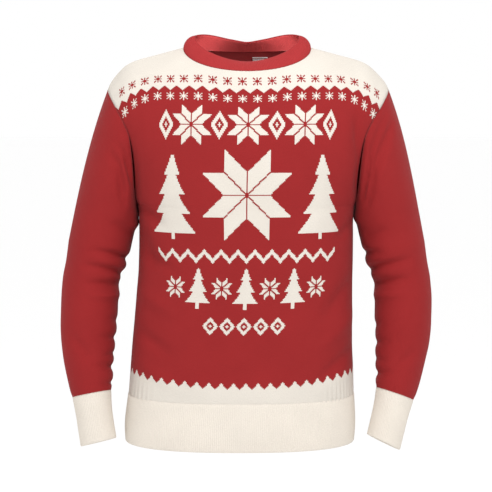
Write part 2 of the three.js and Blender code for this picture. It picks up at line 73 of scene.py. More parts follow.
ARMHOLE = sizes("z x", [
    (-262, 183.8), (-237, 186.5), (-190, 189.5), (-150, 194.5), (-122, 206), (-100, 219.5), (-72, 237),
])
# Each fold is a trough from one place to another, as the piece is seen; a minus depth is a ridge.
FRONT_FOLDS = sizes("x z to_x to_z width depth", [
    (-196, -150, -187, -236, 9, 6), (178, -110, 189, -180, 9, 6), (190, -175, 186, -245, 9, 7),
    (-182, -262, -138, -292, 9, 5), (-180, -300, -150, -372, 13, 5), (-181, -340, -120, -366, 10, 4),
    (-180, -405, -118, -436, 13, -4), (-186, -470, -128, -506, 12, 5), (-184, -520, -120, -560, 12, -3),
    (182, -285, 150, -318, 10, 4), (180, -380, 128, -448, 13, 5), (183, -440, 120, -500, 13, -4),
    (186, -500, 118, -548, 11, 5), (70, -530, -60, -548, 22, 3), (-20, -300, 60, -330, 30, 2.5),
])


def read(table, column, place):
    keys, values = next(iter(table.values())), table[column]
    place = np.clip(place, keys[0], keys[-1])
    row = np.clip(np.searchsorted(keys, place, side="right") - 1, 0, len(keys) - 2)
    slope = np.diff(values) / np.diff(keys)
    product, total = slope[:-1] * slope[1:], slope[:-1] + slope[1:]
    inner = np.where(product > 0, 2 * product / np.where(total == 0, 1, total), 0)
    tangent = np.concatenate([slope[:1], inner, slope[-1:]])
    span = keys[row + 1] - keys[row]
    u = (place - keys[row]) / span
    start = values[row] * (1 + 2 * u) * (1 - u) ** 2 + tangent[row] * span * u * (1 - u) ** 2
    end = values[row + 1] * u * u * (3 - 2 * u) - tangent[row + 1] * span * u * u * (1 - u)
    return start + end


def ridge(x):
    return read(RIDGE, "z", np.abs(x))


def super_round(value):
    return np.sign(value) * np.abs(value) ** (2 / SQUARENESS)


def depth_at(face, out, z):
    section = np.maximum(0, 1 - (out / read(TORSO, "reach", z)) ** SQUARENESS) ** (1 / SQUARENESS)
    crown = np.clip((ridge(out) - z) / CROWN_HEIGHT, 0, 1)
    bulge = (1 - (1 - crown) ** 2) ** CROWN_POWER[face]
    return FACING[face] * read(TORSO, face, z) * section * bulge


def torso_places(face, across, up):
    across, up = np.broadcast_arrays(np.asarray(across, float), np.asarray(up, float))
    size, side = np.abs(across), np.where(across < 0, -1, 1)
    round_part = super_round(np.sin(size * math.pi / 2))
    low_z = HEM_SEAM_Z + (ARMPIT_Z - HEM_SEAM_Z) * up
    low_out = read(TORSO, "reach", low_z) * round_part
    rise = (1 - np.cos(math.pi * (np.maximum(up, 1) - 1))) / 2
    turn = size / NECK_SHARE * math.pi / 2
    in_neck = size < NECK_SHARE
    along_shoulder = (size - NECK_SHARE) / (1 - NECK_SHARE)
    top_x = np.where(in_neck, NECK_HALF * np.sin(turn),
                     NECK_HALF + (SHOULDER_HALF - NECK_HALF) * along_shoulder)
    top_z = np.where(in_neck, -NECK_DROP[face] * np.cos(turn), ridge(top_x))
    edge_z = ARMPIT_Z + (SHOULDER_TIP_Z - ARMPIT_Z) * rise
    high_z = ARMPIT_Z + (top_z - ARMPIT_Z) * rise
    high_out = read(ARMHOLE, "x", edge_z) * ((1 - rise) * round_part + rise * top_x / SHOULDER_HALF)
    z = np.where(up <= 1, low_z, high_z)
    out = np.where(up <= 1, low_out, high_out)
    return np.stack([read(TORSO, "lean", z) + side * out, depth_at(face, out, z), z], -1)


def outward(grid, ring=False):
    if ring:
        around = np.roll(grid, -1, 1) - np.roll(grid, 1, 1)
    else:
        around = np.gradient(grid, axis=1)
    normal = np.cross(around, np.gradient(grid, axis=0))
    return normal / np.maximum(np.linalg.norm(normal, axis=-1, keepdims=True), 1e-9)


def folds(table, place):
    out = np.zeros(place.shape[:-1])
    for *ends, width, depth in zip(*table.values()):
        start, end = np.array(ends[:2]), np.array(ends[2:])
        line = end - start
        along = np.clip((place - start) @ line / (line @ line), 0, 1)
        away = np.linalg.norm(place - start - along[..., None] * line, axis=-1) / width
        swell = FOLD_END + (1 - FOLD_END) * np.sin(math.pi * along) ** FOLD_SWELL
        out -= depth * swell * np.exp(-away * away)
    return out


def length_along(grid, axis):
    steps = np.linalg.norm(np.diff(grid, axis=axis), axis=-1)
    pad = [(0, 0)] * 2
    pad[axis] = (1, 0)
    return np.pad(np.cumsum(steps, axis=axis), pad)


def smooth_step(value, low, high):
    t = np.clip((value - low) / (high - low), 0, 1)
    return t * t * (3 - 2 * t)


def roll_in(grid, ring, edges, depth=0.4, width=1.8):
    # How far the cloth dips where its edge turns in to a seam.
    dip = np.zeros(grid.shape[:2])
    down, right = length_along(grid, 0), length_along(grid, 1)
    away = {"low": down, "high": down[-1:] - down, "left": right, "right": right[:, -1:] - right}
    for edge in edges:
        dip = np.maximum(dip, depth * np.exp(-(away[edge] / width) ** 2))
    return dip


def knit_wall(name, outer, inner, cloth, ring=False, rim_steps=3):
    # One closed wall of cloth. Rows run up and columns to the right as seen from outside; cloth holds
    # each place on the flat piece, across and up, with one more column than the wall on a ring.
    rows, columns = outer.shape[:2]
    half = np.linalg.norm(outer - inner, axis=-1).mean() / 2

    def rim(r, before):
        middle, arm = (outer[r] + inner[r]) / 2, (outer[r] - inner[r]) / 2
        away = outer[r] - outer[before]
        away *= half / np.maximum(np.linalg.norm(away, axis=-1, keepdims=True), 1e-9)
        turns = [math.pi * k / (rim_steps + 1) for k in range(1, rim_steps + 1)]
        return [middle + arm * math.cos(t) + away * math.sin(t) for t in turns]

    top, bottom = rim(rows - 1, rows - 2), rim(0, 1)
    loop = np.concatenate([outer, top, inner[::-1], bottom[::-1]])
    cloth_rows = [*range(rows), *[rows - 1] * rim_steps, *range(rows - 1, -1, -1), *[0] * rim_steps]
    reverse = [*[0.0] * rows, *[0.5] * rim_steps, *[1.0] * rows, *[0.5] * rim_steps]
    count = len(loop)
    spans = columns if ring else columns - 1
    r, c = np.meshgrid(np.arange(count), np.arange(spans), indexing="ij")
    r_next, c_next = (r + 1) % count, (c + 1) % columns
    corners = np.stack([r * columns + c, r * columns + c_next, r_next * columns + c_next,
                        r_next * columns + c], -1).reshape(-1, 4)
    uv_rows = np.array(cloth_rows)
    uv = np.stack([cloth[uv_rows[r], c], cloth[uv_rows[r], c + 1], cloth[uv_rows[r_next], c + 1],
                   cloth[uv_rows[r_next], c]], -2).reshape(-1, 2)
    faces = corners.tolist()
    uv = uv.tolist()

    def close_side(ids, column):
        faces.append([i * columns + column for i in ids])
        uv.extend(cloth[uv_rows[i], column].tolist() for i in ids)

    inner_foot = 2 * rows + rim_steps - 1
    for column, order in () if ring else ((0, 1), (columns - 1, -1)):
        for k in range(rows - 1):
            close_side([inner_foot - k, k, k + 1, inner_foot - 1 - k][::order], column)
        close_side(range(rows - 1, rows + rim_steps + 1), column)
        close_side([*range(inner_foot, count), 0], column)
    mesh = bpy.data.meshes.new(name)
    mesh.from_pydata((loop.reshape(-1, 3) * 0.001).tolist(), [], faces)
    layer = mesh.uv_layers.new(name="cloth")
    layer.data.foreach_set("uv", np.array(uv, np.float32).ravel() * 0.001)
    inside = mesh.attributes.new("reverse_side", "FLOAT", "POINT")
    inside.data.foreach_set("value", np.repeat(reverse, columns).astype(np.float32))
    mesh.polygons.foreach_set("use_smooth", [True] * len(mesh.polygons))
    piece = bpy.data.objects.new(name, mesh)
    bpy.context.scene.collection.objects.link(piece)
    return piece


def spread(count, crowd=0.0):
    # Places from 0 to 1, which crowding draws closer together at both ends.
    t = np.linspace(0, 1, count + 1)
    return t - crowd * np.sin(2 * math.pi * t) / (2 * math.pi)


SECTION_STEPS = 61
# How the courses and wales run: the courses dip at the middle of the neck, droop over the shoulders
# and rise at the sides above the hem, and the wales draw closer together towards the armholes.
ARMHOLE_DROOP = sizes("away droop lean crowd", [
    (0, 38, 0.1, 16), (10, 33.5, 0.14, 14), (17, 28.5, 0.18, 12), (25, 22.5, 0.2, 10.5),
    (33, 16.5, 0.2, 9.5), (38, 12.5, 0.16, 9), (45, 9, 0.1, 7.8), (53, 5.5, 0.06, 7), (62, 3, 0.04, 6),
    (85, 0, 0, 4), (110, 0, 0, 1), (130, 0, 0, 0), (300, 0, 0, 0),
])
NECK_DIP = sizes("away dip", [(0, 1), (35, 0.8), (60, 0.35), (84, 0), (240, 0)])
HALF_WIDTH = {"front": 254.6, "back": 239.9}
YOKE_EDGE, YOKE_RANGE = 226, (-230, -110)
# The lean is counted from this height, and courses follow the cloth's profile no further out.
LEAN_FROM, PROFILE_REACH = 200, 165
NECK_DIP_DEPTH, NECK_DIP_RANGE = 8, (120, 215)
HEM_RISE, HEM_RISE_REACH, HEM_RISE_RANGE = 12, 190, (300, 540)


def torso_cloth(face, places):
    z = places[..., 2]
    offset = places[..., 0] - read(TORSO, "lean", z)
    out, side = np.abs(offset), np.sign(offset)
    share = np.linspace(0, 1, SECTION_STEPS)

    def section_length(angle):
        angles = angle[..., None] * share
        x = read(TORSO, "reach", z)[..., None] * super_round(np.sin(angles))
        return np.hypot(np.diff(x), np.diff(depth_at(face, x, z[..., None] + 0 * x))).sum(-1)

    across = section_length(np.arcsin(np.clip(out / read(TORSO, "reach", z), 0, 1) ** (SQUARENESS / 2)))
    full = section_length(np.full(z.shape, math.pi / 2))
    across = across * np.where(z < ARMPIT_Z, HALF_WIDTH[face] / full, 1)
    profile_z = ARMPIT_Z + (z - ARMPIT_Z)[..., None] * share
    profile_y = depth_at(face, np.minimum(out, PROFILE_REACH)[..., None] + 0 * profile_z, profile_z)
    along = np.hypot(np.diff(profile_z), np.diff(profile_y)).sum(-1) * np.where(z < ARMPIT_Z, -1, 1)
    away = np.maximum(0, (read(ARMHOLE, "x", z) + YOKE_EDGE) / 2 - out)
    on_yoke = smooth_step(z, *YOKE_RANGE)
    crowding = read(ARMHOLE_DROOP, "crowd", away) * on_yoke
    lean = read(ARMHOLE_DROOP, "lean", away) * (along - LEAN_FROM) * on_yoke
    courses = along + read(ARMHOLE_DROOP, "droop", away) * on_yoke
    courses = courses + read(NECK_DIP, "dip", out) * NECK_DIP_DEPTH * smooth_step(along, *NECK_DIP_RANGE)
    to_side = np.minimum(across / HEM_RISE_REACH, 1)
    courses = courses - HEM_RISE * to_side ** 2 * smooth_step(-z, *HEM_RISE_RANGE)
    return np.stack([side * (across + crowding - lean), courses], -1)


PANEL_COLUMNS, LOWER_ROWS, UPPER_ROWS, SIDE_CROWDING = 150, 104, 78, 0.3
# How soon a fold fades towards the sides and shoulders, what is left of it at an armhole, and how
# far above the hem the gathers reach.
SIDE_FADE, SHOULDER_FADE, ARMHOLE_SHARE, GATHER_HEIGHT = 6, 5, 0.5, 22


def torso_panel(name, face, fold_table, gathers):
    # Gathers are given as centre, spread, pitch and depth.
    columns = FACING[face] * (1 - 2 * spread(PANEL_COLUMNS, SIDE_CROWDING))[None, :]
    ups = np.concatenate([spread(LOWER_ROWS), 1 + spread(UPPER_ROWS)[1:]])[:, None]
    base = torso_places(face, columns, ups)
    flat = torso_cloth(face, base)
    normal = outward(base)
    from_side = (1 - np.abs(columns)) * SIDE_FADE
    by_side = np.minimum(1, np.where(ups <= 1, from_side, from_side + ARMHOLE_SHARE))
    by_shoulder = np.minimum(1, (2 - ups) * SHOULDER_FADE)
    stand = folds(fold_table, base[..., [0, 2]]) * by_side * by_shoulder
    near_hem = np.exp(-((base[..., 2] - HEM_SEAM_Z) / GATHER_HEIGHT) ** 2)
    for centre, width, pitch, depth in gathers:
        weight = np.exp(-((flat[..., 0] - centre) / width) ** 2)
        stand = stand + depth * weight * near_hem * np.sin(flat[..., 0] * 2 * math.pi / pitch)
    stand = stand - roll_in(base, False, ["low", "high", "left", "right"])
    outer = base + normal * stand[..., None]
    inner = outer - normal * KNIT_WALL
    return knit_wall(name, outer, inner, flat)


FRONT_GATHERS = [(172, 34, 9.5, 1.7), (-178, 30, 11, 1.0)]
front_panel = torso_panel("front_panel_knit", "front", FRONT_FOLDS, FRONT_GATHERS)

# The knit: a stitch is one V, a wale wide and a course high. Every motif is charted in whole
# stitches, on columns counted from the middle and rows counted from the height of the armpits.
WALE, COURSE = 0.00203, 0.0017
RED = (0.255, 0.0165, 0.0175, 1)
# The cream of the charted panels is painted darker than the cream of the ribs below. This is painted shade
# to offset the stronger light on the upper body; the yarn is the same.
YOKE_CREAM = (0.61, 0.565, 0.505, 1)


class Count:
    """A number worked out at every stitch of a piece, so that a chart can be written as a sum."""

    def __init__(self, tree, socket):
        self.tree, self.socket = tree, socket

    def calc(self, operation, *others):
        node = self.tree.nodes.new("ShaderNodeMath")
        node.operation = operation
        for slot, value in enumerate((self, *others)):
            if isinstance(value, Count):
                self.tree.links.new(value.socket, node.inputs[slot])
            else:
                node.inputs[slot].default_value = value
        return Count(self.tree, node.outputs[0])

    def __add__(self, other):
        return self.calc("ADD", other)

    def __sub__(self, other):
        return self.calc("SUBTRACT", other)

    def __mul__(self, other):
        return self.calc("MULTIPLY", other)

    def __truediv__(self, other):
        return self.calc("DIVIDE", other)

    def __lt__(self, other):
        return self.calc("LESS_THAN", other)

    def __gt__(self, other):
        return self.calc("GREATER_THAN", other)

    def __and__(self, other):
        return self.calc("MULTIPLY", other)

    def __or__(self, other):
        return self.calc("MAXIMUM", other)

    def size(self):
        return self.calc("ABSOLUTE")

    def floor(self):
        return self.calc("FLOOR")

    def part(self):
        return self.calc("FRACT")

    def least(self, other):
        return self.calc("MINIMUM", other)

    def most(self, other):
        return self.calc("MAXIMUM", other)

    def sine(self):
        return self.calc("SINE")

    def power(self, other):
        return self.calc("POWER", other)

    def every(self, pitch):
        return (self + pitch / 2).calc("FLOORED_MODULO", pitch) - pitch / 2


def snowflake(column, row, bold=False):
    a, b = column.size(), row.size()
    arms = (a < 0.5) | (b < 0.5) | ((b - a).size() < 0.5)
    if bold:
        arms = arms | (((b - a - 1).size() < 0.5) & (a > 1.5))
    return arms & (a < 3.5) & (b < 4.5)


def rose(column, row, size):
    # The eight-petalled rose of northern knitting: each petal is a leaning four-sided leaf.
    x, y = column.size(), (row * (COURSE / WALE)).size()
    near, far = x.least(y), x.most(y)
    return (near > 0.6) & (near < size + 0.4) & (far - near > 0.9) & (far - near < size + 0.4)


def fir(column, row, height, half_width, tiers):
    # A fir tree: tiers of boughs that narrow to the top, over a short trunk.
    up = row * (COURSE / WALE)
    share = up / height
    tier = (share * tiers).part()
    width = (share * -0.78 + 0.9) * half_width * (tier * -0.48 + 1)
    boughs = (column.size() < width) & (up > 0) & (up < height)
    trunk = (column.size() < 1.6) & (up > -4.6) & (up < 0.5)
    return boughs | trunk


def lozenge(column, row, half_width, half_height):
    reach = column.size() / half_width + (row * (COURSE / WALE)).size() / half_height
    return (reach < 1) & ((reach > 0.55) | (reach < 0.18))


def teeth(column, row, pitch, height):
    # Where a row of pointed teeth is cream: above the line that runs up and down.
    tri = column.every(pitch).size() * (2 / pitch)
    return row > tri * height - height / 2


def knit_yarn(name, chart=None, main=RED, other=YOKE_CREAM, wale=WALE, course=COURSE, relief=0.00035,
              reverse=(0.40, 0.045, 0.047, 1)):
    material = bpy.data.materials.new(name)
    material.use_nodes = True
    tree = material.node_tree
    nodes, links = tree.nodes, tree.links
    shader = nodes["Principled BSDF"]
    flat = nodes.new("ShaderNodeUVMap")
    flat.uv_map = "cloth"
    split = nodes.new("ShaderNodeSeparateXYZ")
    links.new(flat.outputs["UV"], split.inputs[0])
    across = Count(tree, split.outputs["X"]) / wale
    along = Count(tree, split.outputs["Y"]) / course
    in_wale = across.part() - 0.5
    column = across.floor()
    leg = along - in_wale.size() * 0.6
    row = leg.floor()
    # Relief: the two legs of each V are rounded, with a groove between them and between wales.
    legs = (in_wale * (2 * math.pi)).sine().size().power(0.6)
    turns = (leg.part() * math.pi).sine().power(0.5)
    height = legs * 0.7 + legs * turns * 0.3

    def noise(scale, detail=2.0, stretch=(1, 1)):
        mapping = nodes.new("ShaderNodeMapping")
        mapping.inputs["Scale"].default_value = (scale * stretch[0], scale * stretch[1], 1)
        links.new(flat.outputs["UV"], mapping.inputs["Vector"])
        node = nodes.new("ShaderNodeTexNoise")
        node.inputs["Scale"].default_value = 1
        node.inputs["Detail"].default_value = detail
        links.new(mapping.outputs[0], node.inputs["Vector"])
        return Count(tree, node.outputs["Fac"])

    def mix(kind, factor, a, b):
        node = nodes.new("ShaderNodeMix")
        node.data_type, node.blend_type = "RGBA", kind
        for slot, value in ((0, factor), (6, a), (7, b)):
            if isinstance(value, Count):
                links.new(value.socket, node.inputs[slot])
            elif isinstance(value, bpy.types.NodeSocket):
                links.new(value, node.inputs[slot])
            else:
                node.inputs[slot].default_value = value
        return node.outputs[2]

    # The reverse shows the open loops of the main yarn and none of the motifs. The red given for the reverse
    # is painted paler than the face: painted light on the inside of the garment, which the lamps barely
    # reach.
    side = nodes.new("ShaderNodeAttribute")
    side.attribute_name = "reverse_side"
    inside = Count(tree, side.outputs["Fac"]) > 0.75
    face = mix("MIX", chart(column, row), main, other) if chart else main
    colour = mix("MIX", inside, face, reverse)
    # Yarn: slightly uneven dye from stitch to stitch, and broad worn patches. The grooves between the legs
    # of each stitch and between wales are also painted darker, as painted shade.
    uneven = noise(scale=900, detail=1.0, stretch=(1, 0.5)) * 0.30 + 0.85
    patches = noise(scale=14, detail=3.0) * 0.16 + 0.92
    shade = nodes.new("ShaderNodeCombineColor")
    dye_wear_and_groove_shade = uneven * patches * (height * 0.16 + 0.88)
    for slot in range(3):
        links.new(dye_wear_and_groove_shade.socket, shade.inputs[slot])
    colour = mix("MULTIPLY", 1.0, colour, shade.outputs[0])
    links.new(colour, shader.inputs["Base Color"])
    rough = noise(scale=60) * 0.12 + 0.82
    links.new(rough.socket, shader.inputs["Roughness"])
    shader.inputs["Specular IOR Level"].default_value = 0.12
    shader.inputs["Sheen Weight"].default_value = 0.03
    shader.inputs["Sheen Roughness"].default_value = 0.4
    fuzz = noise(scale=2600) * 0.25
    bump = nodes.new("ShaderNodeBump")
    bump.inputs["Strength"].default_value = 0.55
    bump.inputs["Distance"].default_value = relief
    links.new((height + fuzz).socket, bump.inputs["Height"])
    links.new(bump.outputs[0], shader.inputs["Normal"])
    return material


def course_at(millimetres):
    return round(millimetres / 1000 / COURSE)


UPPER_FLAKES, LOWER_FLAKES = course_at(220.5), course_at(187.5)
YOKE_TEETH, HEM_TEETH = course_at(202), course_at(-295.8)
FLAKE_PITCH, FLAKE_SHIFT, LAST_FLAKE = 12, 5, 119


def border_chart(column, row):
    above = teeth(column - 1, row - YOKE_TEETH, pitch=11, height=5)
    below = (row - HEM_TEETH) < (column - 3).every(10).size() * -1.25 + 3.3
    along = (column + FLAKE_SHIFT).every(FLAKE_PITCH)
    flakes = snowflake(along, row - UPPER_FLAKES, bold=True) & (column.size() < LAST_FLAKE)
    stars = snowflake(along, row - LOWER_FLAKES)
    return (above - flakes) | below | stars


def front_chart(column, row):
    # A composition of northern motifs: a great rose between two firs, with smaller rows about it.
    out, top_row, zigzag_row = column.size(), row - course_at(137), row - course_at(-84)
    roses = rose(column.every(46), top_row, size=8) & (out < 64)
    seeds = lozenge((column + 23).every(46), top_row, half_width=7, half_height=12) & (out < 78)
    middle = rose(column, row - course_at(22), size=18)
    firs = fir(out - 62, row - course_at(-42), height=64, half_width=23, tiers=4)
    wave = teeth(column, zigzag_row, pitch=14, height=9)
    chain = (wave - teeth(column, zigzag_row - 5, pitch=14, height=9)) & (out < 78)
    small_firs = fir(column.every(40), row - course_at(-158), height=29, half_width=12, tiers=3) & (out < 54)
    small_roses = rose((column + 20).every(40), row - course_at(-132), size=4) & (out < 72)
    foot = lozenge(column.every(14), row - course_at(-196), half_width=6.5, half_height=7.5) & (out < 34.5)
    motifs = roses | seeds | middle | firs | chain | small_firs | small_roses | foot
    return border_chart(column, row) | motifs


front_panel.data.materials.append(knit_yarn("red_knit_front", front_chart))
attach(front_panel, "root")
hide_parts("front_panel")

# Back panel: the same knit and form, a little flatter and higher at the neck. It has the yoke and
# the points over the hem, and plain red between them.
BACK_FOLDS = sizes("x z to_x to_z width depth", [
    (-194, -140, -186, -238, 9, 6), (192, -130, 186, -240, 9, 6), (-182, -265, -132, -300, 9, 5),
    (182, -262, 140, -290, 9, 5), (-176, -330, -20, -382, 14, 6), (178, -352, -40, -424, 14, 6),
    (-180, -430, 50, -486, 14, -4), (182, -470, -30, -520, 13, 5.5), (-184, -520, -60, -556, 12, 5),
    (120, -545, -40, -562, 16, 3), (70, -110, 128, -220, 16, 4), (-80, -110, -130, -215, 16, 3.5),
])
BACK_GATHERS = [(150, 60, 11, 0.8), (-150, 60, 10, 0.8)]
back_panel = torso_panel("back_panel_knit", "back", BACK_FOLDS, BACK_GATHERS)
back_panel.data.materials.append(knit_yarn("red_knit_back", border_chart))
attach(back_panel, "root")
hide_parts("back_panel")

# Sleeves: plain red knit tubes set into the armholes, bent a little at the elbow and slack above
# the cuffs. Each is one piece of cloth closed by a seam along its under side.
ARM = sizes("z right left y wide deep tilt_right tilt_left nod", [
    (-335, 251, 249.5, 4, 53, 60, 10, 10, 0), (-366, 257.5, 256, 6, 51, 58, 8, 7, 2),
    (-394, 265.5, 263.8, 7, 48.8, 56, 4, 2, 4), (-428, 268.5, 266.7, 4, 48.5, 54, 1, -2, 7),
    (-462, 269.3, 265.8, -2, 48.5, 52.5, -1, -6, 10), (-489, 270, 264.8, -8, 46.8, 50, -3, -9, 12),
    (-519, 269.4, 261, -14, 43.8, 46.5, -5, -13, 12), (-540, 267.8, 258.2, -18.5, 41.3, 44, -7, -15, 12),
    (-560, 265.8, 255.4, -22.5, 38.6, 41, -9, -17, 12), (-575, 264.5, 252.8, -26, 36, 39, -10, -18, 12),
    (-585, 263.5, 250.8, -28.5, 33.3, 36.5, -11, -19, 12), (-625, 258, 241, -37, 30.8, 34, -12, -22, 12),
    (-664, 251.5, 231, -45, 31, 34, -14, -26, 12),
])
ARM_TOP_Z, CUFF_Z, CUFF_END_Z = -335, -585, -664
SLEEVE_FOLDS = {
    "left": sizes("turn z to_turn to_z width depth", [
        (40, -104, 100, -216, 5, 7.5), (94, -206, 128, -254, 5, 6), (36, -124, 102, -240, 5.5, 7.5),
        (96, -236, 126, -268, 6, 5), (140, -278, 220, -278, 8, -2), (140, -288, 220, -288, 7, -3.2),
        (70, -352, 200, -380, 6.5, 8),
        (120, -340, 205, -350, 6.5, 6), (80, -384, 190, -402, 6.5, 6), (95, -410, 185, -420, 7, -4),
        (240, -392, 310, -420, 12, 4), (250, -150, 225, -250, 10, 5), (95, -300, 150, -322, 9, 4),
        (140, -463, 215, -474, 7, 2.5), (125, -490, 210, -503, 6, 3.5), (128, -521, 200, -527, 5, 2.5),
        (112, -541, 220, -554, 6, 4.5), (60, -505, 110, -540, 10, 3), (118, -571, 205, -574, 4.5, 2.5),
    ]),
    "right": sizes("turn z to_turn to_z width depth", [
        (66, -158, 120, -228, 5, 6.5), (60, -172, 106, -240, 5.5, 6), (74, -206, 116, -262, 6, 5),
        (140, -280, 220, -280, 9, -2.4), (140, -296, 220, -296, 9, -5.1),
        (84, -336, 205, -362, 6.5, 8), (76, -362, 200, -386, 6.5, 7.5), (88, -392, 190, -402, 6.5, 5),
        (95, -412, 190, -420, 7, -4), (240, -385, 310, -410, 12, 4), (250, -150, 225, -250, 10, 5),
        (100, -290, 160, -315, 9, 4), (138, -455, 210, -468, 7, 3), (120, -482, 215, -496, 6, 4),
        (132, -514, 205, -519, 5, 3), (110, -530, 220, -545, 6.5, 5), (122, -562, 210, -568, 4.5, 3.5),
        (55, -480, 105, -520, 10, 3),
    ]),
}
MM_PER_TURN_DEGREE = 0.9
SIDE = {"left": 1, "right": -1}
# Which way the cloth leaves the armhole, and which way it enters the arm.
CAP_OUT, CAP_FLARE, CAP_ROUND, CAP_DOWN = 0.17, 0.18, 0.22, 0.9
ARM_OUT, ARM_DOWN = 0.2, 0.98
# Folds fade out this near to the cuff, and this fast near the armhole.
CUFF_FADE, ARMHOLE_FADE = 12, 6
# Courses are counted down the cloth on the forearm and, stretched a little, by height on the cap.
CAP_STRETCH, FOREARM_Z = 1.03, -440


def arm_places(arm, turn, z):
    side = SIDE[arm]
    tilt, nod = np.radians(read(ARM, "tilt_" + arm, z)), np.radians(read(ARM, "nod", z))
    wide, deep = read(ARM, "wide", z) * np.cos(turn), read(ARM, "deep", z) * np.sin(turn)
    x = side * read(ARM, arm, z) + side * np.cos(tilt) * wide
    y = read(ARM, "y", z) - np.cos(nod) * deep
    return np.stack([x, y, z + np.sin(tilt) * wide + np.sin(nod) * deep], -1)


def cap_places(arm, turn, down):
    side = SIDE[arm]
    up = 1 + np.arccos(np.clip(-np.cos(turn), -1, 1)) / math.pi
    front, back = (torso_places(face, side + 0 * up, up) for face in ("front", "back"))
    start = np.where((np.sin(turn) >= 0)[..., None], front, back)
    end = arm_places(arm, turn, ARM_TOP_Z + 0 * turn)
    pull = np.linalg.norm(end - start, axis=-1, keepdims=True) / 3
    leave_x = side * (CAP_OUT + CAP_FLARE * np.cos(turn))
    leave = np.stack([leave_x, -CAP_ROUND * np.sin(turn), -CAP_DOWN + 0 * turn], -1)
    leave /= np.linalg.norm(leave, axis=-1, keepdims=True)
    near, far = start + leave * pull, end - np.array([side * ARM_OUT, 0, -ARM_DOWN]) * pull
    t = down[..., None]
    return (1 - t) ** 3 * start + 3 * (1 - t) ** 2 * t * near + 3 * (1 - t) * t * t * far + t ** 3 * end


def arm_piece(name, arm, rows, wall, edges, rib=None, around_steps=128):
    # Rows run up; each is a height on the arm, below zero, or a share down the cap from 1 to 0.
    side = SIDE[arm]
    turns = math.pi - side * 2 * math.pi * np.arange(around_steps) / around_steps
    turn, down = np.meshgrid(turns, np.array(rows, float))
    base = np.where((down < 0)[..., None], arm_places(arm, turn, np.where(down < 0, down, ARM_TOP_Z)),
                    cap_places(arm, turn, np.maximum(down, 0)))
    normal = outward(base, ring=True)
    degrees = np.degrees(turn) % 360
    place = np.stack([degrees * MM_PER_TURN_DEGREE, base[..., 2]], -1)
    table = dict(SLEEVE_FOLDS[arm])
    table["turn"], table["to_turn"] = (table[k] * MM_PER_TURN_DEGREE for k in ("turn", "to_turn"))
    by_cuff, by_armhole = (down - CUFF_Z) / CUFF_FADE, down * ARMHOLE_FADE
    hold = np.clip(np.where(down < 0, by_cuff, by_armhole), 0, 1)
    stand = folds(table, place) * hold - roll_in(base, True, edges)
    outer = base + normal * stand[..., None]
    inner = outer - normal * wall
    closed = np.concatenate([base, base[:, :1]], 1)
    around = length_along(closed, 1)
    along = np.broadcast_to(length_along(closed, 0).mean(1, keepdims=True), around.shape)
    if rib:
        around = around / around[:, -1:] * rib
    else:
        around = around - around[:, -1:] / 2
        by_height = (closed[..., 2] - base[0, :, 2].mean()) * CAP_STRETCH
        on_arm = smooth_step(-np.broadcast_to(down[:, :1], around.shape), -ARM_TOP_Z, -FOREARM_Z)
        along = along * on_arm + by_height * (1 - on_arm)
    return knit_wall(name, outer, inner, np.stack([around, along], -1), ring=True)


ARM_ROWS, CAP_ROWS, CAP_CROWDING = 101, 80, 0.2
sleeve_rows = [*np.linspace(CUFF_Z, ARM_TOP_Z, ARM_ROWS), *(1 - spread(CAP_ROWS, CAP_CROWDING))[1:]]
sleeve_knit = knit_yarn("red_knit_sleeve")
for arm in ("left", "right"):
    sleeve = arm_piece(f"sleeve_{arm}_knit", arm, sleeve_rows, KNIT_WALL, ["low", "high"])
    sleeve.data.materials.append(sleeve_knit)
    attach(sleeve, "root")
    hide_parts(f"sleeve_{arm}")

# Cuffs: tubes of fine cream rib, linked to the ends of the sleeves, which blouse a little over them.
# The ribs are raised by Geometry Nodes, which swing the smooth wall out and in at each rib.
RIB_WALL, RIB_PITCH, RIB_HEIGHT, STEPS_A_RIB = 3, 3.1, 0.3, 6


